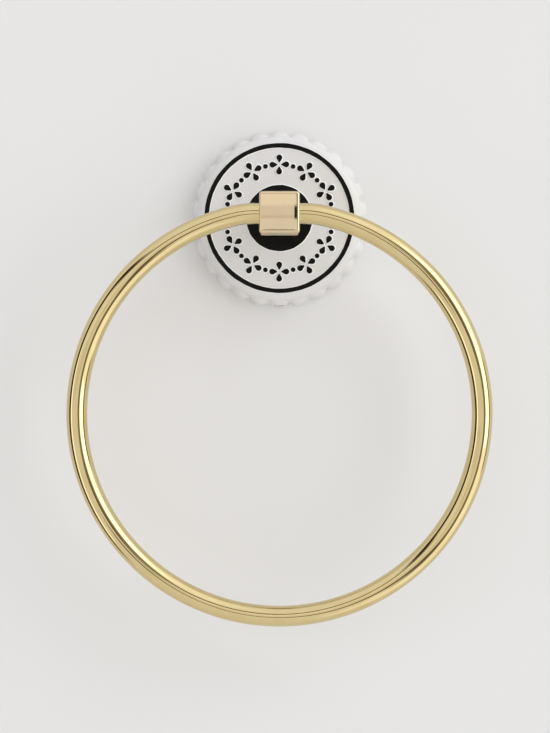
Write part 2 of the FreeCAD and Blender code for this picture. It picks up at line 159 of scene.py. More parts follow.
def new_material(name: str) -> tuple[bpy.types.Material, NodeTree, Socket]:
    """Make an empty node material.

    Args:
        name: The finish's own name.

    Returns:
        The material, its tree and Object coordinates, which are metres in the shared frame.
    """
    material = bpy.data.materials.new(name)
    material.use_nodes = True
    tree = NodeTree(material.node_tree)
    return material, tree, tree.add("ShaderNodeTexCoord")["Object"]


def lumps(place: Socket, size_mm: float, detail: float) -> dict:
    """Inputs of a noise.

    Args:
        place: Coordinates in metres.
        size_mm: Size of its coarsest lumps.
        detail: Octaves of finer lumps in them.

    Returns:
        The inputs by name.
    """
    return {"Vector": place, "Scale": 1 / (size_mm * MM), "Detail": detail}


def relief(height: Socket, strength: float, depth_mm: float) -> dict:
    """Inputs of a bump.

    Args:
        height: Where the surface is high, from 0 to 1.
        strength: How much of the relief shows.
        depth_mm: How high it stands at 1.

    Returns:
        The inputs by name.
    """
    return {"Height": height, "Strength": strength, "Distance": depth_mm * MM}


class Finish:
    """Base of the finishes: one shader over a fine relief."""

    name: str

    def surface(self, tree: NodeTree, place: Socket) -> tuple[dict, dict]:
        """Inputs of the shader and of its relief, which each finish gives in its own way."""
        raise NotImplementedError

    def make(self) -> bpy.types.Material:
        """Build the material.

        Returns:
            The material.
        """
        material, tree, place = new_material(self.name)
        sockets, bump = self.surface(tree, place)
        normal = tree.add("ShaderNodeBump", bump)["Normal"]
        shader = tree.add("ShaderNodeBsdfPrincipled", {**sockets, "Normal": normal})["BSDF"]
        tree.add("ShaderNodeOutputMaterial", {"Surface": shader})
        return material


@dataclass(frozen=True)
class WhiteGlaze(Finish):
    """Glossy white earthenware glaze, dipped and fired.

    A fired glaze is a thin glass coat over a milky body: a clear reflection of the window, a
    slight orange-peel wave a few millimetres long, and a warmer tone where it lies thicker.
    """

    name: str = "white_fired_glaze"
    colour: str = "#E1E0E1"
    warm_tone: str = "#E1E0DC"
    cloud_mm: float = 20.0
    wave_mm: float = 3.2
    wave_depth_mm: float = 0.25
    wave_strength: float = 0.12
    roughness: float = 0.24
    ior: float = 1.5
    specular: float = 0.35

    def surface(self, tree: NodeTree, place: Socket) -> tuple[dict, dict]:
        """Drift slowly between two whites, over a shallow wave.

        Args:
            tree: The material's tree.
            place: Coordinates in metres.

        Returns:
            Inputs of the shader and of its relief.
        """
        drift = tree.add("ShaderNodeTexNoise", lumps(place, self.cloud_mm, 2.0))["Fac"]
        tones = ((0.35, self.colour), (0.68, self.warm_tone))
        wave = tree.add("ShaderNodeTexNoise", lumps(place, self.wave_mm, 1.0))["Fac"]
        sockets = {
            "Base Color": tree.add("ShaderNodeValToRGB", {"Fac": drift}, tones)["Color"],
            "Roughness": self.roughness,
            "IOR": self.ior,
            "Specular IOR Level": self.specular,
        }
        return sockets, relief(wave, self.wave_strength, self.wave_depth_mm)


@dataclass(frozen=True)
class BlackGlaze(Finish):
    """Black glaze brushed by hand over the raised work.

    It dries thicker and thinner under the brush, so its surface is less even than the white and
    reflects less of the room: a deep black with a soft sheen and fine streaks.
    """

    name: str = "black_brushed_glaze"
    colour: str = "#080808"
    thin_tone: str = "#131110"
    streak_mm: float = 1.3
    streak_depth_mm: float = 0.08
    streak_strength: float = 0.3
    roughness: float = 0.36
    ior: float = 1.5
    specular: float = 0.13

    def surface(self, tree: NodeTree, place: Socket) -> tuple[dict, dict]:
        """Lay streaks that are a little paler where the glaze is thin.

        Args:
            tree: The material's tree.
            place: Coordinates in metres.

        Returns:
            Inputs of the shader and of its relief.
        """
        streak = tree.add("ShaderNodeTexNoise", lumps(place, self.streak_mm, 3.0))["Fac"]
        tones = ((0.35, self.colour), (0.75, self.thin_tone))
        sockets = {
            "Base Color": tree.add("ShaderNodeValToRGB", {"Fac": streak}, tones)["Color"],
            "Roughness": self.roughness,
            "IOR": self.ior,
            "Specular IOR Level": self.specular,
        }
        return sockets, relief(streak, self.streak_strength, self.streak_depth_mm)


@dataclass(frozen=True)
class Brass(Finish):
    """Solid brass, worked to one of several surfaces.

    Bare brass colours its reflections yellow. Polishing leaves hair-fine scratches and a faint
    wave; brushing leaves longer ones, which widen and soften the highlights. Where brushed is
    given, it is the roughness of the faces that look straight up or down.
    """

    name: str
    colour: str
    tone: str
    roughness: float
    scratch_mm: float
    scratch_strength: float
    scratch_stretch: tuple[float, float, float] = (1.0, 1.0, 1.0)
    brushed: float = 0.0
    cloud_mm: float = 9.0
    scratch_depth_mm: float = 0.02

    def surface(self, tree: NodeTree, place: Socket) -> tuple[dict, dict]:
        """Drift between two yellows, with scratches that change the roughness as well.

        Args:
            tree: The material's tree.
            place: Coordinates in metres.

        Returns:
            Inputs of the shader and of its relief.
        """
        drift = tree.add("ShaderNodeTexNoise", lumps(place, self.cloud_mm, 3.0))["Fac"]
        tones = ((0.3, self.colour), (0.75, self.tone))
        drawn = tree.add("ShaderNodeMapping", {"Vector": place, "Scale": self.scratch_stretch})["Vector"]
        scratch = tree.add("ShaderNodeTexNoise", lumps(drawn, self.scratch_mm, 2.0))["Fac"]
        spread = {
            "Value": scratch,
            "From Min": 0.3,
            "From Max": 0.7,
            "To Min": self.roughness * 0.8,
            "To Max": self.roughness * 1.25,
        }
        rough = tree.add("ShaderNodeMapRange", spread)["Result"]
        if self.brushed:
            facing = tree.add("ShaderNodeTexCoord")["Normal"]
            level = tree.add("ShaderNodeSeparateXYZ", {0: facing})["Z"]
            upright = tree.add("ShaderNodeMath", {0: level}, operation="ABSOLUTE")[0]
            ends = {
                "Value": upright,
                "From Min": 0.9,
                "From Max": 0.98,
                "To Min": rough,
                "To Max": self.brushed,
            }
            rough = tree.add("ShaderNodeMapRange", ends)["Result"]
        sockets = {
            "Base Color": tree.add("ShaderNodeValToRGB", {"Fac": drift}, tones)["Color"],
            "Metallic": 1.0,
            "Roughness": rough,
        }
        return sockets, relief(scratch, self.scratch_strength, self.scratch_depth_mm)


@dataclass(frozen=True)
class PlainFinish(Finish):
    """A hidden piece's finish: plated steel, cast zinc or soft rubber, with its own grain."""

    name: str
    colour: str
    tone: str
    metallic: float
    roughness: float
    grain_mm: float
    grain_depth_mm: float
    grain_strength: float = 0.4

    def surface(self, tree: NodeTree, place: Socket) -> tuple[dict, dict]:
        """Let one grain carry the tone, the roughness and the relief.

        Args:
            tree: The material's tree.
            place: Coordinates in metres.

        Returns:
            Inputs of the shader and of its relief.
        """
        grain = tree.add("ShaderNodeTexNoise", lumps(place, self.grain_mm, 4.0))["Fac"]
        tones = ((0.3, self.colour), (0.7, self.tone))
        roughest = min(1.0, self.roughness * 1.2)
        spread = {"Value": grain, "To Min": self.roughness * 0.8, "To Max": roughest}
        sockets = {
            "Base Color": tree.add("ShaderNodeValToRGB", {"Fac": grain}, tones)["Color"],
            "Metallic": self.metallic,
            "Roughness": tree.add("ShaderNodeMapRange", spread)["Result"],
        }
        return sockets, relief(grain, self.grain_strength, self.grain_depth_mm)


# Glaze pools thick at the foot of the raised work, and that foot is painted a shade brighter white than the
# rest: a painted highlight for the bright outline along its edges
PAINTED_HIGHLIGHT_GLAZE = WhiteGlaze("white_glaze_painted_highlight", "#FAFAFA", "#F8F8F6")
# Polished on a wheel, with scratches that run across its front; the two faces that look up and down
# are only brushed, and spread what they mirror
BLOCK_BRASS = Brass(
    name="polished_block_brass",
    colour="#E1CEAC",
    tone="#DDC9A5",
    roughness=0.06,
    scratch_mm=0.3,
    scratch_strength=0.1,
    scratch_stretch=(0.15, 1.0, 1.0),
    brushed=0.38,
)
# Drawn bar, bent and then buffed: a mirror with hardly any grain, deeper in colour than the block
RING_BRASS = Brass(
    name="polished_brass",
    colour="#DDCB9A",
    tone="#D7C38E",
    roughness=0.07,
    scratch_mm=0.6,
    scratch_strength=0.03,
)
# Left as it came off the lathe: a dull yellow with a fine tooth
TURNED_BRASS = Brass(
    name="turned_brass",
    colour="#DDBF7E",
    tone="#D2B372",
    roughness=0.3,
    scratch_mm=0.2,
    scratch_strength=0.5,
)
# Bright zinc on small steel parts: a cool grey with a soft shine
PLATED_STEEL = PlainFinish("zinc_plated_steel", "#C4C6CA", "#B4B6BC", 1.0, 0.32, 0.6, 0.01)
# Zinc as cast, neither ground nor plated: darker, duller and faintly pitted
CAST_ZINC = PlainFinish("cast_zinc", "#B9BBBE", "#A6A8AC", 1.0, 0.48, 0.8, 0.05)
# Moulded sheet rubber: near black and matt
SOFT_RUBBER = PlainFinish("soft_black_rubber", "#1E1E1F", "#2A2A2B", 0.0, 0.75, 0.5, 0.04)


def mesh_object(
    name: str,
    vertices: np.ndarray,
    faces: list[np.ndarray],
    finishes: list[bpy.types.Material],
    choice: np.ndarray | None = None,
) -> bpy.types.Object:
    """Put computed vertices and faces into a smooth-shaded object at the origin.

    Args:
        name: The piece's name.
        vertices: One row of X, Y and Z in millimetres for each vertex.
        faces: Groups of faces, each row the vertex numbers anticlockwise from outside.
        finishes: The piece's materials.
        choice: Optional number of the material for each face.

    Returns:
        The new object.
    """
    mesh = bpy.data.meshes.new(name)
    mesh.from_pydata((vertices * MM).tolist(), [], [row for group in faces for row in group.tolist()])
    mesh.shade_smooth()
    for finish in finishes:
        mesh.materials.append(finish)
    if choice is not None:
        mesh.polygons.foreach_set("material_index", choice.astype(np.int32))
    piece = bpy.data.objects.new(name, mesh)
    bpy.context.scene.collection.objects.link(piece)
    LOG.info("%s: %d vertices, %d faces", name, len(mesh.vertices), len(mesh.polygons))
    return piece


def face_choice(faces: np.ndarray, marks: np.ndarray) -> np.ndarray:
    """Choose each face's glaze from the marks of all its corners.

    Args:
        faces: Vertex numbers, one row for each face.
        marks: The mark of each vertex.

    Returns:
        The slot number of each face's glaze.
    """
    corners = marks.ravel()[faces]
    # Faces marked low at every corner take the painted-highlight white
    cases = [corners.min(axis=1) > BLACK_FROM, corners.max(axis=1) < PAINTED_HIGHLIGHT_BELOW]
    return np.select(cases, [Glazing.BLACK.value, Glazing.PAINTED_HIGHLIGHT.value], Glazing.WHITE.value)


def cut_away(piece: bpy.types.Object, tool: bpy.types.Object) -> None:
    """Cut the tool's solid out of the piece for good, and remove the tool.

    Args:
        piece: What is cut.
        tool: The solid whose shape is cut out.
    """
    modifier = piece.modifiers.new("hole", "BOOLEAN")
    modifier.operation = "DIFFERENCE"
    modifier.solver = "EXACT"
    modifier.object = tool
    cut = piece.evaluated_get(bpy.context.evaluated_depsgraph_get())
    mesh = bpy.data.meshes.new_from_object(cut)
    piece.modifiers.clear()
    piece.data = mesh
    mesh.set_sharp_from_angle(angle=math.radians(SHARP_FROM))
    bpy.data.objects.remove(tool)


def ring_faces(rows: int, columns: int, close_rows: bool, flip: bool = False) -> np.ndarray:
    """Quads of a grid whose columns close on themselves.

    Args:
        rows: Grid rows.
        columns: Vertices in a row; the last joins the first.
        close_rows: Whether the last row joins the first as well.
        flip: Turn every face over.

    Returns:
        One row of four vertex numbers for each quad.
    """
    row = np.arange(rows if close_rows else rows - 1)
    r, c = np.meshgrid(row, np.arange(columns), indexing="ij")
    here, above = r * columns, (r + 1) % rows * columns
    beside = (c + 1) % columns
    quads = np.stack([here + c, here + beside, above + beside, above + c], -1).reshape(-1, 4)
    return quads[:, ::-1] if flip else quads


def on_wall(local: np.ndarray) -> np.ndarray:
    """Turn X, Z and distance from the wall into X, Y and Z, with -Y away from the wall."""
    return local[..., [0, 2, 1]] * [1, -1, 1]


def round_axis(radius: np.ndarray, height: np.ndarray, angle: np.ndarray) -> np.ndarray:
    """Places on a piece turned about the rosette's axis.

    Args:
        radius: Distance from the axis.
        height: Distance from the wall.
        angle: Angle round the axis, from +X towards +Z.

    Returns:
        X, Y and Z of each grid point, one after the other.
    """
    local = np.stack([radius * np.cos(angle), radius * np.sin(angle), height], -1)
    return on_wall(local).reshape(-1, 3)


def turns(count: int) -> np.ndarray:
    """Angles of evenly spaced places round a whole turn, in radians."""
    return np.arange(count) * (2 * math.pi / count)


def softened(values: np.ndarray, width: float) -> np.ndarray:
    """Blur values that run round a circle, as glaze fills a sharp valley.

    Each wave of the circle is weakened by exp(-2 (pi * width * frequency)^2), which is a blur
    with a bell curve.

    Args:
        values: Evenly spaced values round the circle, along the last axis.
        width: Blur in samples (standard deviation).

    Returns:
        The blurred values.
    """
    count = values.shape[-1]
    gain = np.exp(-2 * (math.pi * width * np.fft.rfftfreq(count)) ** 2)
    return np.fft.irfft(np.fft.rfft(values, axis=-1) * gain, n=count, axis=-1)


def parabola(
    at: np.ndarray, places: tuple[float, float, float], values: tuple[float, float, float]
) -> np.ndarray:
    """Value on the parabola through three points.

    It is the line through the first two, plus a bend times the distances from both of them.

    Args:
        at: Where to work it out.
        places: Where the three points are.
        values: Their values.

    Returns:
        The value at each place.
    """
    first = (values[1] - values[0]) / (places[1] - places[0])
    second = (values[2] - values[1]) / (places[2] - places[1])
    bend = (second - first) / (places[2] - places[0])
    return values[0] + (at - places[0]) * (first + bend * (at - places[1]))


def rotate(points: np.ndarray, angle: float) -> np.ndarray:
    """Turn points about the third axis.

    Args:
        points: Three coordinates each, along the last axis.
        angle: In radians, anticlockwise seen from the axis's positive end.

    Returns:
        The turned points.
    """
    cos, sin = math.cos(angle), math.sin(angle)
    return points @ np.array([[cos, -sin, 0], [sin, cos, 0], [0, 0, 1]]).T


@dataclass(frozen=True)
class RaisedWork:
    """What all raised work on the rosette's face shares.

    It stands on the face and is black on top, and glaze has pooled in the corner at its foot.
    """

    face: float = 9.5
    rise: float = 0.5
    pool_width: float = 0.34
    pool_height: float = 0.2

    @property
    def top(self) -> float:
        """Distance of its top from the wall."""
        return self.face + self.rise


@dataclass(frozen=True)
class Rosette:
    """The ceramic rosette: fluted edge on a flared lip, raised circle line, disc and hollow back."""

    work: RaisedWork
    crest: float = 33.2
    lobes: int = 26
    lobe_radius: float = 5.0
    petal_heights: tuple[float, float, float] = (0.9, 5.2, 8.7)
    petal_centres: tuple[float, float] = (27.6, 25.5)
    petal_radii: tuple[float, float, float] = (4.4, 4.4, 3.7)
    body_radius: float = 30.6
    body_foot: float = 1.25
    shoulder_foot: float = 6.3
    shoulder_radius: float = 3.1
    face_radius: float = 28.0
    line_outer: float = 27.8
    line_inner: float = 26.1
    line_pool: float = 0.15
    disc_radius: float = 12.3
    edge_round: float = 0.16
    screw_hole: float = 2.75
    cavity_radius: float = 25.5
    cavity_top: float = 6.0
    way_in_height: float = 2.9
    way_in_radius: float = 1.9
    columns: int = 728
    side_rows: int = 12
    shoulder_rows: int = 13
    edge_rows: int = 6
    line_rows: int = 4
    band_rows: int = 14
    disc_rows: int = 7
    valley_blur: float = 1.6
    lip_blur: float = 0.96
    valley_fill: float = 0.35
    fade_height: float = 1.2
    wobble: float = 0.05

    def lobe_outline(self, centre: np.ndarray, radius: np.ndarray, angle: np.ndarray) -> np.ndarray:
        """Radius of an outline made of equal circles set round the axis.

        The way out along each angle meets the nearest circle at
        centre * cos(d) + sqrt(radius^2 - (centre * sin(d))^2), where d is the angle to the middle
        of that lobe and the root is of 0.01 at least. One lobe points straight down.

        Args:
            centre: Distance of the circles' centres from the axis.
            radius: Of the circles.
            angle: Angle round the axis.

        Returns:
            The outline's radius at each angle.
        """
        pitch = 2 * math.pi / self.lobes
        away = (angle + math.pi / 2 + pitch / 2) % pitch - pitch / 2
        side = centre * np.sin(away)
        return centre * np.cos(away) + np.sqrt(np.maximum(radius**2 - side**2, 0.01))

    def shoulder_arc(self, count: int) -> np.ndarray:
        """The arc from the body's side to the face, through both ends with the shoulder's radius.

        Its centre lies on the line that halves the chord, sqrt(radius^2 - (chord / 2)^2) inwards.

        Args:
            count: Number of points.

        Returns:
            One row of radius and height for each point.
        """
        foot = np.array([self.body_radius, self.shoulder_foot])
        rim = np.array([self.face_radius, self.work.face])
        chord = rim - foot
        length = float(np.hypot(*chord))
        inward = np.array([-chord[1], chord[0]]) / length
        centre = (foot + rim) / 2 + inward * math.sqrt(self.shoulder_radius**2 - length**2 / 4)
        start, end = (math.atan2(*(place - centre)[::-1]) for place in (foot, rim))
        turn = np.linspace(start, end, count)
        return centre + self.shoulder_radius * np.stack([np.cos(turn), np.sin(turn)], -1)

    def skirt(self, angle: np.ndarray) -> tuple[np.ndarray, np.ndarray]:
        """The fluted edge from the wall up to the rim of the face.

        Lip rows are the outline of the lobes' circles, drawn in at the top to leave a crease.
        Above it the petals' circles move inwards and shrink on a parabola through their foot,
        middle and top, and the outline is the larger of the petals and the round body, with
        (fill - difference)^2 / (4 fill) added where they meet.

        Args:
            angle: Angle of each column.

        Returns:
            Radius and height of each grid point.
        """
        lip_height, added = np.array(LIP_SECTION).T
        lip_centre = self.crest - self.lobe_radius
        lip = self.lobe_outline(lip_centre, self.lobe_radius + added[:, None], angle)
        side = np.linspace(self.body_foot, self.shoulder_foot, self.side_rows)
        bend = self.shoulder_arc(self.shoulder_rows)[1:]
        body = np.concatenate([np.full(len(side), self.body_radius), bend[:, 0]])[:, None]
        height = np.concatenate([side, bend[:, 1]])[:, None]
        centre = parabola(height, self.petal_heights, (lip_centre, *self.petal_centres))
        radius = parabola(height, self.petal_heights, self.petal_radii)
        petals = softened(self.lobe_outline(centre, radius, angle), self.valley_blur)
        close = np.maximum(self.valley_fill - np.abs(petals - body), 0)
        outline = np.maximum(petals, body) + close**2 / (4 * self.valley_fill)
        # The petals fade out on the shoulder, so that the face keeps its height and edge
        fade = np.clip((self.work.face - height) / self.fade_height, 0, 1)
        rows = np.concatenate([softened(lip, self.lip_blur), body + (outline - body) * fade])
        return rows, np.concatenate([lip_height[:, None], height]) * np.ones_like(angle)

    def face_section(self) -> np.ndarray:
        """Section of the face from its rim inwards, down the screw hole and out over the hollow.

        Returns:
            One row for each step: radius, height, whose wavering it follows (1 for an outer
            painted edge, -1 for an inner one, 0 for none) and its glaze mark.
        """
        face, top = self.work.face, self.work.top
        rows: list[np.ndarray] = []

        def step(edge: float, outer: bool, pool: float) -> None:
            """Add one rounded step of the relief, with glaze pooled at its foot, painted the brighter white
            of a painted highlight.

            Args:
                edge: Radius of the step's upright side.
                outer: Whether it is an outer edge, where the relief begins on the way in.
                pool: Width of the pooled glaze.
            """
            outwards = 1 if outer else -1
            turn = np.linspace(0, math.pi / 2, self.edge_rows)
            foot = np.array(GLAZE_FOOT) * [outwards * pool, self.work.pool_height] + [edge, face]
            rounding = np.stack([outwards * (np.cos(turn) - 1), np.sin(turn) - 1], -1)
            section = np.concatenate([foot, self.edge_round * rounding + [edge, top]])
            # The foot's rows and the first row of the rounding take the brighter painted-highlight white
            marks = [PAINTED_HIGHLIGHT_ROW] * (len(foot) + 1) + [EDGE_ROW] + [BLACK_ROW] * (self.edge_rows - 2)
            follow = np.full(len(section), outwards)
            rows.append(np.column_stack([section, follow, marks])[::outwards])

        def plain(places: np.ndarray, mark: float) -> None:
            """Add rows of radius and height that follow no painted edge, all with one mark."""
            rows.append(np.column_stack([places, np.zeros(len(places)), np.full(len(places), mark)]))

        def level(start: float, end: float, count: int, height: float) -> np.ndarray:
            """Evenly spaced places at one height, from one radius to another."""
            return np.column_stack([np.linspace(start, end, count), np.full(count, height)])

        # Level rows start and end far enough from each step to leave its rounding alone
        step(self.line_outer, True, self.line_pool)
        plain(level(self.line_outer - 0.4, self.line_inner + 0.4, self.line_rows, top), BLACK_ROW)
        step(self.line_inner, False, self.work.pool_width)
        plain(level(self.line_inner - 0.8, self.disc_radius + 0.8, self.band_rows, face), WHITE_ROW)
        step(self.disc_radius, True, self.work.pool_width)
        plain(level(self.disc_radius - 0.5, self.screw_hole + 0.3, self.disc_rows, top), BLACK_ROW)
        # Down the hole, out under the hollow's roof, down its wall and out towards the lip. The
        # rows that lie close together round the corners off
        hole, roof, wall = self.screw_hole, self.cavity_top, self.cavity_radius
        hollow = [
            (hole, top - 0.1), (hole, roof + 0.1), (hole + 0.1, roof),
            (wall - 1.0, roof), (wall - 0.3, roof - 0.1), (wall, roof - 0.5),
            (wall, roof / 2),
            (wall, 0.3), (wall + 0.2, 0.0), (wall + 0.5, 0.0),
            (self.body_radius - 0.8, 0.0),
        ]
        plain(np.array(hollow), WHITE_ROW)
        return np.concatenate(rows)

    def make(self, finishes: list[bpy.types.Material]) -> bpy.types.Object:
        """Build the rosette as one closed surface.

        The grid runs round the axis and, in the other direction, once round the section: up the
        skirt, in across the face, down the screw hole, out over the hollow and back to the lip.

        Args:
            finishes: The white glaze, the black glaze, and the brighter white of the painted highlight at the
                feet of raised work.

        Returns:
            The rosette.
        """
        angle = turns(self.columns)
        skirt_radius, skirt_height = self.skirt(angle)
        radius, height, follow, mark = (column[:, None] for column in self.face_section().T)
        outer = self.wobble * sum(share * np.sin(n * angle + phase) for n, phase, share in HAND_WAVES)
        # An inner edge wavers as the outer ones do, but a third of a turn on
        inner = np.roll(outer, self.columns // 3)
        wavering = np.select([follow > 0, follow < 0], [outer[None, :], inner[None, :]], 0.0)
        all_round = np.ones_like(angle)
        radius = np.concatenate([skirt_radius, radius + wavering])
        height = np.concatenate([skirt_height, height * all_round])
        marks = np.concatenate([np.full_like(skirt_radius, WHITE_ROW), mark * all_round])
        faces = ring_faces(len(radius), self.columns, close_rows=True, flip=True)
        places = round_axis(radius, height, angle)
        piece = mesh_object("glazed_rosette", places, [faces], finishes, face_choice(faces, marks))
        cut_away(piece, self.way_in(finishes[0]))
        return piece

    def way_in(self, finish: bpy.types.Material) -> bpy.types.Object:
        """The upright rod whose shape is cut out of the underside for the set screw.

        Its side is a circle moved down from the hollow to below the lip, and at both ends the
        circle's points are drawn in to the middle.

        Args:
            finish: The glaze on the walls of the hole.

        Returns:
            The rod.
        """
        turn = turns(48)
        radius = self.way_in_radius * np.array([[0.02], [1.0], [1.0], [1.0], [1.0], [0.02]])
        level = np.array([[-24.0], [-24.0], [-27.0], [-32.0], [-36.0], [-36.0]])
        x = radius * np.cos(turn)
        y = radius * np.sin(turn) - self.way_in_height
        places = np.stack([x, y, level * np.ones_like(turn)], -1).reshape(-1, 3)
        faces = ring_faces(len(level), len(turn), close_rows=True, flip=True)
        return mesh_object("way_in", places, [faces], [finish])


@dataclass(frozen=True)
class BandOrnament:
    """Raised flowers of four drops with a dot between each, round the rosette's face."""

    work: RaisedWork
    flowers: int = 12
    circle: float = 19.85
    drop_start: float = 0.5
    drop_centre: float = 2.6
    drop_radius: float = 1.1
    dot_radius: float = 0.9
    outline_points: int = 56
    tip_blur: float = 0.9
    edge_round: float = 0.15
    sunk_share: float = 0.6
    hand_seed: int = 12
    drop_slip: float = 0.02
    dot_slip: float = 0.03

    def drop_outline(self) -> np.ndarray:
        """Outline of a drop as a radius round the middle of its round end.

        Round the end it is the drop's radius; towards the point, within the angle t of the
        tangents, it is drop_radius / cos(t - angle from the point). The point is then softened.

        Returns:
            The radius at each angle, starting at the point.
        """
        turn = turns(self.outline_points)
        reach = self.drop_centre - self.drop_start
        tangent = math.acos(self.drop_radius / reach)
        from_point = np.minimum(turn, 2 * math.pi - turn)
        straight = self.drop_radius / np.cos(tangent - np.minimum(from_point, tangent))
        return softened(np.where(from_point < tangent, straight, self.drop_radius), self.tip_blur)

    def pad(self, outline: np.ndarray) -> tuple[np.ndarray, np.ndarray]:
        """A raised pad over an outline: flat-domed top, rounded edge and upright side.

        Args:
            outline: Radius at evenly spaced angles; angle 0 is the drop's point.

        Returns:
            Local X, Z and height of each vertex by row, and the glaze mark of each row.
        """
        work = self.work
        rise = np.radians([0, 22, 45, 68, 90])
        foot = np.array([(1.0, -self.sunk_share), *GLAZE_FOOT]) * [work.pool_width, work.pool_height]
        # Rows of the dome: share of the edge's radius, and how far over the edge they stand
        dome = np.array([(0.7, 0.03), (0.35, 0.045)])
        drawn_in = np.concatenate([-foot[:, 0], self.edge_round * (1 - np.cos(rise))])
        edge = outline - drawn_in[:, None]
        radius = np.concatenate([edge, edge[-1] * dome[:, :1]])
        rounded = work.top - self.edge_round * (1 - np.sin(rise))
        height = np.concatenate([work.face + foot[:, 1], rounded, work.top + dome[:, 1]])
        black_rows = len(height) - len(foot) - 2
        # The foot's rows and the first row of the rounding take the brighter painted-highlight white
        marks = np.array([PAINTED_HIGHLIGHT_ROW] * (len(foot) + 1) + [EDGE_ROW] + [BLACK_ROW] * black_rows)
        turn = turns(len(outline))
        z = height[:, None] * np.ones_like(turn)
        return np.stack([radius * np.sin(turn), -radius * np.cos(turn), z], -1), marks

    def laid_out(self, drop: np.ndarray, dot: np.ndarray) -> np.ndarray:
        """Set the flowers and dots round their circle, each a little off its place as by hand.

        Args:
            drop: Local vertices of one drop, by row.
            dot: Local vertices of one dot, by row.

        Returns:
            The vertices of every pad, by row.
        """
        hand = np.random.default_rng(self.hand_seed)
        slip = self.drop_slip
        pads: list[np.ndarray] = []
        for flower in range(self.flowers):
            around = -2 * math.pi * flower / self.flowers
            for quarter in range(4):
                turned = rotate(drop + [0, self.drop_centre, 0], quarter * math.pi / 2 + hand.normal(0, slip))
                moved = turned + [hand.normal(0, slip), self.circle + hand.normal(0, slip), 0]
                pads.append(rotate(moved, around))
            spot = dot + [0, self.circle + hand.normal(0, self.dot_slip), 0]
            pads.append(rotate(spot, around - math.pi / self.flowers))
        return np.array(pads)

    def make(self, finishes: list[bpy.types.Material]) -> bpy.types.Object:
        """Build every flower and dot into one piece of closed pads.

        Each pad's vertices are its rows, the middle of its base and the middle of its top.

        Args:
            finishes: The white glaze, the black glaze, and the brighter white of the painted highlight at the
                feet of raised work.

        Returns:
            The piece.
        """
        drop, marks = self.pad(self.drop_outline())
        dot, _ = self.pad(np.full(self.outline_points, self.dot_radius))
        pads = self.laid_out(drop, dot)
        count, rows, columns = pads.shape[:3]
        middles = np.stack([pads[:, 0].mean(1), pads[:, -1].mean(1)], 1)
        local = np.concatenate([pads.reshape(count, -1, 3), middles], 1)
        base_middle, top_row = rows * columns, (rows - 1) * columns
        ring = np.arange(columns)
        following = (ring + 1) % columns
        middle = np.full(columns, base_middle)
        base = np.stack([middle, ring, following], -1)
        cap = np.stack([middle + 1, top_row + following, top_row + ring], -1)
        groups = [ring_faces(rows, columns, close_rows=False, flip=True), base, cap]
        all_marks = np.concatenate([np.repeat(marks, columns), [PAINTED_HIGHLIGHT_ROW, BLACK_ROW]])
        choice = np.concatenate([np.tile(face_choice(group, all_marks), count) for group in groups])
        first = (np.arange(count) * local.shape[1])[:, None, None]
        faces = [(group[None] + first).reshape(-1, group.shape[1]) for group in groups]
        return mesh_object("raised_flowers", on_wall(local).reshape(-1, 3), faces, finishes, choice)


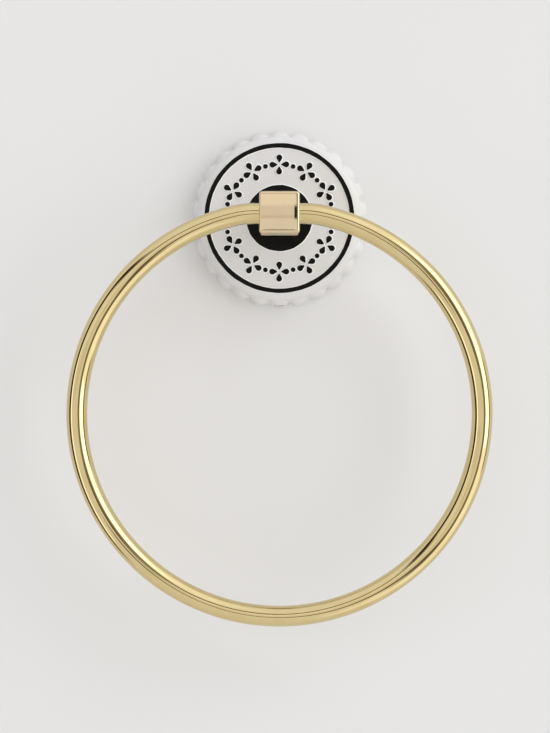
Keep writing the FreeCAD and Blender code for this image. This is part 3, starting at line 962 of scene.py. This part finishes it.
@dataclass(frozen=True)
class BrassBlock:
    """The block with its crowned front and cross bore, and the turned neck behind it."""

    width: float = 14.5
    height: float = 15.0
    front: float = 41.5
    back: float = 26.0
    crown: float = 0.35
    bore_radius: float = 4.07
    bore_bevel: float = 0.3
    long_round: float = 1.1
    side_round: float = 0.9
    buffed_width: float = 1.8
    buffed_lean: float = 6.0
    neck_radius: float = 5.0
    neck_foot: float = 10.5
    neck_overlap: float = 0.6
    neck_soft: float = 0.3
    thread_radius: float = 2.5
    corner_points: int = 13
    front_points: int = 41
    back_points: int = 9
    flank_points: int = 20
    worn_rows: int = 9
    round_rows: int = 12
    outside_rows: int = 9
    bore_rows: int = 7
    neck_columns: int = 96

    def section(self, inset: float) -> np.ndarray:
        """The block's outline seen along the ring's bar, moved in by inset.

        Two straight flanks, a back, two rounded corners at each end and a front that is an arc
        with a rise of crown over the block's height. Points run round the bore.

        Args:
            inset: How far to move the outline in, at right angles to itself.

        Returns:
            One row of Z and distance from the wall for each point.
        """
        half = self.height / 2
        crown_radius = (half**2 + self.crown**2) / (2 * self.crown)
        crown_centre = self.front - crown_radius
        corner_z = half - self.long_round
        lean = math.asin(corner_z / (crown_radius - self.long_round))
        corner_y = crown_centre + (crown_radius - self.long_round) * math.cos(lean)
        quarter = np.linspace(0, math.pi / 2 - lean, self.corner_points)
        corner = np.stack([np.cos(quarter), np.sin(quarter)], -1)
        top_corner = np.array([corner_z, corner_y]) + (self.long_round - inset) * corner
        sweep = np.linspace(lean, -lean, self.front_points)[1:-1]
        arc = np.stack([np.sin(sweep), np.cos(sweep)], -1)
        face = arc * (crown_radius - inset) + [0, crown_centre]
        low_corner = top_corner[::-1] * [-1, 1]
        back_turn = np.linspace(math.pi, math.pi * 1.5, self.back_points)
        back_corner = np.stack([np.cos(back_turn), np.sin(back_turn)], -1) * (self.long_round - inset)
        low_back = back_corner + [-corner_z, self.back + self.long_round]
        high_back = low_back[::-1] * [-1, 1]
        share = np.linspace(0, 1, self.flank_points)[1:-1, None]
        low_flank = low_corner[-1] + (low_back[0] - low_corner[-1]) * share
        high_flank = high_back[-1] + (top_corner[0] - high_back[-1]) * share
        rear = low_back[-1] + (high_back[0] - low_back[-1]) * share
        return np.concatenate(
            [top_corner, face, low_corner, low_flank, low_back, rear, high_back, high_flank]
        )

    def end_profile(self) -> np.ndarray:
        """How the four faces run out into an end: buffing wears them down a little first.

        Over the buffed width the slope grows evenly from nothing to the lean, so the face drops
        by lean * width / 2; the rounding then turns from the lean to a right angle.

        Returns:
            One row of X and the distance drawn in for each step, towards the end face.
        """
        lean = math.radians(self.buffed_lean)
        drop = lean * self.buffed_width / 2
        start = self.width / 2 - self.side_round * (1 - math.sin(lean)) - self.buffed_width
        share = np.linspace(0, 1, self.worn_rows)
        worn = np.stack([start + self.buffed_width * share, drop * share**2], -1)
        turn = np.linspace(lean, math.pi / 2, self.round_rows)[1:]
        sweep = np.stack([np.sin(turn) - math.sin(lean), math.cos(lean) - np.cos(turn)], -1)
        return np.concatenate([worn, worn[-1] + self.side_round * sweep])

    def make_block(self, finish: bpy.types.Material) -> bpy.types.Object:
        """Build the block as one closed surface.

        Rows run once round the wall of the bored block: over the outside from one end to the
        other, in across that end, back through the bore and out across the first end. A row
        across an end lies on straight lines from the outline to the bore's mouth.

        Args:
            finish: The block's brass.

        Returns:
            The block.
        """
        half = self.width / 2
        middle = np.array([0, RING_PLANE])
        outline = self.section(0.0)
        outwards = (outline - middle) / np.hypot(*(outline - middle).T)[:, None]
        over = self.end_profile()
        edge = self.section(over[-1, 1])
        mouth = outwards * (self.bore_radius + self.bore_bevel) + middle
        across = [edge + (mouth - edge) * share for share in END_ROWS]
        inside = half - self.bore_bevel
        bore = outwards * self.bore_radius + middle
        rings = [
            *((x, outline) for x in np.linspace(-over[0, 0], over[0, 0], self.outside_rows)),
            *((x, self.section(drawn_in)) for x, drawn_in in over[1:]),
            *((half, ring) for ring in across),
            *((x, bore) for x in np.linspace(inside, -inside, self.bore_rows)),
            *((-half, ring) for ring in reversed(across)),
            *((-x, self.section(drawn_in)) for x, drawn_in in over[:0:-1]),
        ]
        grid = np.array([np.insert(ring, 0, x, axis=1) for x, ring in rings])
        faces = ring_faces(len(rings), len(outline), close_rows=True)
        return mesh_object("crowned_block", on_wall(grid).reshape(-1, 3), [faces], [finish])

    def make_neck(self, finish: bpy.types.Material) -> bpy.types.Object:
        """Build the neck: a tube turned about the rosette's axis, with softened ends.

        Args:
            finish: The block's brass.

        Returns:
            The neck.
        """
        soft, side, hole = self.neck_soft, self.neck_radius, self.thread_radius
        foot, head = self.neck_foot, self.back + self.neck_overlap
        section = [
            (hole, foot + soft), (hole + soft, foot), (side - soft, foot),
            (side - soft / 3, foot + soft / 3), (side, foot + soft),
            (side, foot + 4), (side, head - 4), (side, head - soft),
            (side - soft, head), (hole + 0.5, head), (hole, head - soft), (hole, (foot + head) / 2),
        ]
        radius, height = np.array(section).T[..., None]
        angle = turns(self.neck_columns)
        places = round_axis(radius, height * np.ones_like(angle), angle)
        faces = ring_faces(len(section), self.neck_columns, close_rows=True, flip=True)
        return mesh_object("block_neck", places, [faces], [finish])


@dataclass(frozen=True)
class HangingRing:
    """The ring, bent from round brass bar, with a straight length through the block."""

    radius: float = 72.85
    bend_radius: float = 30.0
    straight: float = 9.0
    bar: float = 3.75
    columns: int = 720
    points: int = 56

    def middle_line(self) -> tuple[np.ndarray, np.ndarray, np.ndarray]:
        """Evenly spaced stations on the middle of the bar, from bottom to bottom.

        The heading turns with the way s from the middle of the straight part: not at all along
        it, by s / bend radius in the bends, and by s / ring radius round the rest. Each place is
        the centre of its arc plus the arc's radius along the outward direction of the heading.

        Returns:
            X, Z and heading of each station.
        """
        between = self.radius - self.bend_radius
        bend = math.asin(self.straight / between)
        centre = -self.bend_radius - between * math.cos(bend)
        bend_end = self.straight + self.bend_radius * bend
        half = bend_end + self.radius * (math.pi - bend)
        way = (np.arange(self.columns) / self.columns * 2 - 1) * half
        side, away = np.sign(way), np.abs(way)
        parts = [away < self.straight, away < bend_end]
        level = np.zeros_like(away)
        turned = (away - self.straight) / self.bend_radius
        heading = np.select(parts, [level, turned], bend + (away - bend_end) / self.radius)
        sin, cos = np.sin(heading), np.cos(heading)
        x = np.select(parts, [away, self.straight + self.bend_radius * sin], self.radius * sin)
        z = np.select(parts, [level, self.bend_radius * (cos - 1)], centre + self.radius * cos)
        return x * side, z, heading * side

    def make(self, finish: bpy.types.Material) -> bpy.types.Object:
        """Build the ring: a circle of the bar's radius carried along the middle line.

        Args:
            finish: The ring's brass.

        Returns:
            The ring.
        """
        line_x, line_z, heading = self.middle_line()
        turn = turns(self.points)[:, None]
        out = self.bar * np.cos(turn)
        x = line_x + out * np.sin(heading)
        z = line_z + out * np.cos(heading)
        y = self.bar * np.sin(turn) - RING_PLANE + np.zeros_like(heading)
        faces = ring_faces(self.points, self.columns, close_rows=True)
        return mesh_object("polished_ring", np.stack([x, y, z], -1).reshape(-1, 3), [faces], [finish])


def direction(across: float, up: float) -> np.ndarray:
    """The direction at an angle across and up, in degrees, from straight out of the wall."""
    a, u = math.radians(across), math.radians(up)
    return np.array([math.sin(a) * math.cos(u), -math.cos(a) * math.cos(u), math.sin(u)])


@dataclass(frozen=True)
class Ray:
    """Where a ray that leaves the object looks: its direction, and that as angles in radians."""

    tree: NodeTree
    way: Socket
    across: Socket
    up: Socket


@dataclass(frozen=True)
class RoomPatch:
    """A soft-edged rectangle of the room in front of the wall, as seen from the object.

    Angles are in degrees: across from straight out to the right, and up from level.
    """

    across: tuple[float, float]
    up: tuple[float, float]
    soft: float
    colour: str
    strength: float = 1.0

    def spans(self, ray: Ray) -> list[tuple[Socket, float]]:
        """How far a ray is from the middle of the patch, across and up.

        Args:
            ray: Where the ray looks.

        Returns:
            For each of the two: the angle in radians, and half the patch's extent in degrees.
        """
        spans = []
        for angle, (low, high) in ((ray.across, self.across), (ray.up, self.up)):
            middle = math.radians((low + high) / 2)
            off = ray.tree.add("ShaderNodeMath", {0: angle, 1: middle}, operation="SUBTRACT")[0]
            size = ray.tree.add("ShaderNodeMath", {0: off}, operation="ABSOLUTE")[0]
            spans.append((size, (high - low) / 2))
        return spans


@dataclass(frozen=True)
class RoomRail:
    """A thin edge in the room, through several directions, each across and up in degrees."""

    points: tuple[tuple[float, float], ...]
    half_width: float
    colour: str
    strength: float = 1.0

    @property
    def soft(self) -> float:
        """Its edges fade over half its width."""
        return self.half_width

    def distance(self, ray: Ray, first: tuple[float, float], last: tuple[float, float]) -> Socket:
        """How far a ray is from the line between two directions.

        The nearest place is first + t * (last - first), with t the ray's share of the way
        along, held between 0 and 1, and then brought back to length 1.

        Args:
            ray: Where the ray looks.
            first: Direction of the line's start.
            last: Direction of its end.

        Returns:
            The distance, in radians.
        """
        start = direction(*first)
        line = direction(*last) - start
        unit = tuple(line / (line @ line))
        kind = "ShaderNodeVectorMath"
        from_start = ray.tree.add(kind, {0: ray.way, 1: tuple(start)}, operation="SUBTRACT")["Vector"]
        along = ray.tree.add(kind, {0: from_start, 1: unit}, operation="DOT_PRODUCT")["Value"]
        held = ray.tree.add("ShaderNodeClamp", {"Value": along})[0]
        moved = ray.tree.add(kind, {0: tuple(line), "Scale": held}, operation="SCALE")["Vector"]
        place = ray.tree.add(kind, {0: moved, 1: tuple(start)}, operation="ADD")["Vector"]
        nearest = ray.tree.add(kind, {0: place}, operation="NORMALIZE")["Vector"]
        return ray.tree.add(kind, {0: ray.way, 1: nearest}, operation="DISTANCE")["Value"]

    def spans(self, ray: Ray) -> list[tuple[Socket, float]]:
        """How far a ray is from the rail.

        Args:
            ray: Where the ray looks.

        Returns:
            One pair: the angle in radians, and half the rail's width in degrees.
        """
        near, *others = (self.distance(ray, *ends) for ends in zip(self.points, self.points[1:]))
        for other in others:
            near = ray.tree.add("ShaderNodeMath", {0: near, 1: other}, operation="MINIMUM")[0]
        return [(near, self.half_width)]


@dataclass(frozen=True)
class Room:
    """The room in front of the wall: an even pale light with the few edges that brass mirrors.

    Each part is laid over the ones before it.
    """

    light: float = 1.145
    plain: tuple[tuple[float, str], ...] = (
        (0.0, "#DEDCDA"),
        (0.4, "#E8E7E7"),
        (0.55, "#E7E6E6"),
        (0.75, "#EFEFF1"),
        (1.0, "#ECEDF1"),
    )
    parts: tuple[RoomPatch | RoomRail, ...] = (
        RoomPatch((-40.0, 9.0), (8.0, 20.0), 1.2, "#F4F2EF"),
        RoomPatch((-40.0, 9.0), (2.2, 7.4), 0.8, "#E2DFDE"),
        RoomPatch((-40.0, 9.0), (0.9, 2.2), 0.6, "#D2CCC4"),
        RoomPatch((15.0, 92.0), (-56.0, 66.0), 26.0, "#FFFFFF", 1.08),
        RoomPatch((4.9, 13.5), (0.5, 7.5), 0.8, "#1E1A16"),
        RoomPatch((33.0, 74.0), (-30.0, 46.0), 5.0, "#FFFFFF", 1.2),
        RoomPatch((76.0, 89.0), (-17.0, 14.0), 5.0, "#6C644F"),
        RoomPatch((-62.0, -52.0), (-34.0, 24.0), 2.5, "#FFFFFF", 1.6),
        RoomRail(((20.0, 17.0), (21.0, 5.0), (24.0, -8.0), (27.0, -22.0)), 9.0, "#7C735E"),
        RoomRail(((-84.0, -34.0), (-77.0, -2.0), (-70.0, 14.0), (-60.0, 30.0)), 10.5, "#1C150C"),
        RoomRail(((-60.0, 31.0), (-52.0, 34.0), (-38.0, 31.0)), 5.0, "#2A2214"),
        RoomRail(((-30.0, 25.0), (0.0, 27.0), (10.0, 24.0)), 3.6, "#5A5040"),
        RoomRail(((2.0, 27.0), (8.0, 23.0), (14.0, 19.0)), 3.2, "#4E4534"),
        RoomRail(((17.0, -17.0), (9.0, -13.0), (3.0, -9.6)), 3.0, "#443B2A"),
        RoomRail(((3.0, -9.6), (0.0, -8.8), (-4.0, -9.0), (-14.0, -12.0)), 2.6, "#5C523E"),
    )

    def ray(self, tree: NodeTree) -> tuple[Ray, Socket]:
        """Read where a ray looks.

        With x, y and z its direction, the angle across is arctan(x / -y) and the angle up is
        arcsin(z).

        Args:
            tree: The world's tree.

        Returns:
            The ray, and its height from 0, straight down, to 1, straight up.
        """
        way = tree.add("ShaderNodeTexCoord")["Generated"]
        x, y, z = tree.add("ShaderNodeSeparateXYZ", {0: way})
        ahead = tree.add("ShaderNodeMath", {0: y, 1: -1.0}, operation="MULTIPLY")[0]
        across = tree.add("ShaderNodeMath", {0: x, 1: ahead}, operation="ARCTAN2")[0]
        up = tree.add("ShaderNodeMath", {0: z}, operation="ARCSINE")[0]
        height = tree.add("ShaderNodeMapRange", {"Value": z, "From Min": -1.0, "From Max": 1.0})["Result"]
        return Ray(tree, way, across, up), height

    def make(self) -> None:
        """Build the world. The camera sees the plain light alone, and the object all of the room."""
        world = bpy.data.worlds.new("pale_room")
        world.use_nodes = True
        bpy.context.scene.world = world
        tree = NodeTree(world.node_tree)
        ray, height = self.ray(tree)
        plain = tree.add("ShaderNodeValToRGB", {"Fac": height}, self.plain)["Color"]
        light = plain
        for part in self.parts:
            share: Socket | float = 1.0
            for off, half in part.spans(ray):
                fade = {
                    "Value": off,
                    "From Min": math.radians(half - part.soft / 2),
                    "From Max": math.radians(half + part.soft / 2),
                    "To Min": 1.0,
                    "To Max": 0.0,
                }
                within = tree.add("ShaderNodeMapRange", fade, interpolation_type="SMOOTHSTEP")["Result"]
                share = tree.add("ShaderNodeMath", {0: share, 1: within}, operation="MULTIPLY")[0]
            mix = {"Factor": share, UNDER: light, OVER: linear(part.colour, part.strength)}
            light = tree.add("ShaderNodeMix", mix, data_type="RGBA")[MIXED]
        seen = tree.add("ShaderNodeLightPath")["Is Camera Ray"]
        mix = {"Factor": seen, UNDER: light, OVER: plain}
        light = tree.add("ShaderNodeMix", mix, data_type="RGBA")[MIXED]
        background = tree.add("ShaderNodeBackground", {"Color": light, "Strength": self.light})
        tree.add("ShaderNodeOutputWorld", {"Surface": background[0]})


@dataclass(frozen=True)
class Studio:
    """Wall, camera and light: a soft key from the upper right and a pale room in front.

    The window's size and distance are in metres, and its direction in degrees across and up.
    """

    room: Room = Room()
    camera_place: tuple[float, float, float] = (-1.6, -800.0, -55.0)
    focal_pixels: float = 2132.5
    frame_height: int = 733
    sensor: float = 36.0
    clip_start: float = 10.0
    wall_colour: str = "#E8E8E8"
    wall_tone: str = "#E7E6E5"
    wall_cloud_mm: float = 160.0
    wall_reach: float = 3000.0
    wall_gap: float = 0.02
    window_direction: tuple[float, float] = (54.0, 16.0)
    window_size: tuple[float, float] = (2.1, 3.4)
    window_distance: float = 3.6
    window_power: float = 28.0

    def make_camera(self) -> None:
        """Stand the camera where the photo was taken from, looking straight at the wall."""
        data = bpy.data.cameras.new("photo_camera")
        data.sensor_width = self.sensor
        data.lens = self.focal_pixels / self.frame_height * self.sensor
        data.clip_start = self.clip_start * MM
        camera = bpy.data.objects.new("photo_camera", data)
        camera.location = [v * MM for v in self.camera_place]
        camera.rotation_euler = (math.pi / 2, 0, 0)
        bpy.context.scene.collection.objects.link(camera)
        bpy.context.scene.camera = camera

    def make_wall(self) -> None:
        """A large pale wall just behind the object, seen from the front only.

        Where a ray has come through its back, the wall is gone for the rest of that ray's way,
        so the object's back gets the room's light when it is looked at from behind.
        """
        material, tree, place = new_material("pale_wall_paint")
        cloud = tree.add("ShaderNodeTexNoise", lumps(place, self.wall_cloud_mm, 2.0))["Fac"]
        tones = ((0.3, self.wall_colour), (0.7, self.wall_tone))
        colour = tree.add("ShaderNodeValToRGB", {"Fac": cloud}, tones)["Color"]
        sockets = {"Base Color": colour, "Roughness": 0.75, "IOR": 1.4}
        paint = tree.add("ShaderNodeBsdfPrincipled", sockets)["BSDF"]
        clear = tree.add("ShaderNodeBsdfTransparent")["BSDF"]
        back = tree.add("ShaderNodeNewGeometry")["Backfacing"]
        passed = tree.add("ShaderNodeLightPath")["Transparent Depth"]
        gone = tree.add("ShaderNodeMath", {0: back, 1: passed}, operation="MAXIMUM")[0]
        mix = tree.add("ShaderNodeMixShader", {0: gone, 1: paint, 2: clear})["Shader"]
        tree.add("ShaderNodeOutputMaterial", {"Surface": mix})
        signs = np.array([[-1, 0, -1], [1, 0, -1], [1, 0, 1], [-1, 0, 1]])
        corners = signs * self.wall_reach + [0, self.wall_gap, 0]
        wall = mesh_object("wall", corners, [np.array([[0, 1, 2, 3]])], [material])

    def make_window(self) -> None:
        """The key: a tall window to the right of the camera and a little above the object."""
        data = bpy.data.lights.new("window", "AREA")
        data.shape = "RECTANGLE"
        data.size, data.size_y = self.window_size
        data.energy = self.window_power
        data.color = linear("#FFFFFF")[:3]
        window = bpy.data.objects.new("window", data)
        away = direction(*self.window_direction)
        window.location = (away * self.window_distance).tolist()
        window.rotation_euler = Vector(away).to_track_quat("Z", "Y").to_euler()
        bpy.context.scene.collection.objects.link(window)

    def make(self) -> None:
        """Set up the whole studio."""
        self.make_camera()
        self.make_wall()
        self.room.make()
        self.make_window()
        bpy.context.scene.view_settings.view_transform = "Standard"


def dress_node(frame: dict, node: str, finish: bpy.types.Material) -> None:
    """Give a CAD node its finish.

    Args:
        frame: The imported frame.
        node: The node's name.
        finish: Its material.
    """
    piece = frame["nodes"][node]
    piece.data.materials.clear()
    piece.data.materials.append(finish)
    LOG.info("%s keeps its CAD mesh, finished in %s", node, finish.name)


def carry(piece: bpy.types.Object, body: str, slot: str, *nodes: str) -> None:
    """Let a piece ride on a body, in place of the nodes named.

    Args:
        piece: The finished piece.
        body: The body that it rides on.
        slot: The record's material slot; not used.
        *nodes: CAD nodes that it replaces.
    """
    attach(piece, body)
    if nodes:
        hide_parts(*nodes)


def main() -> None:
    """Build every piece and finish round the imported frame."""
    logging.basicConfig(level=logging.INFO)
    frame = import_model()

    # The third glaze is a brighter white, a painted highlight round the foot of the raised work
    glazes = [WhiteGlaze().make(), BlackGlaze().make(), PAINTED_HIGHLIGHT_GLAZE.make()]
    satin = BLOCK_BRASS.make()
    plated = PLATED_STEEL.make()
    rubber = SOFT_RUBBER.make()

    work = RaisedWork()
    rosette = Rosette(work).make(glazes)
    carry(rosette, WALL_BODY, "white_glaze", "rosette")
    flowers = BandOrnament(work).make(glazes)
    carry(flowers, WALL_BODY, "white_glaze")

    brass_block = BrassBlock()
    block = brass_block.make_block(satin)
    carry(block, WALL_BODY, "satin_brass", "ring_block")
    neck = brass_block.make_neck(satin)
    carry(neck, WALL_BODY, "satin_brass")

    ring = HangingRing().make(RING_BRASS.make())
    carry(ring, RING_BODY, "polished_brass", "towel_ring")

    for node, finish in (
        ("neck_washer", rubber),
        ("back_washer", rubber),
        ("seat_cup", TURNED_BRASS.make()),
        ("lock_washer", plated),
        ("clamp_screw", plated),
        ("wall_bracket", CAST_ZINC.make()),
        ("set_screw", plated),
    ):
        dress_node(frame, node, finish)

    Studio().make()


if __name__ == "__main__":
    main()
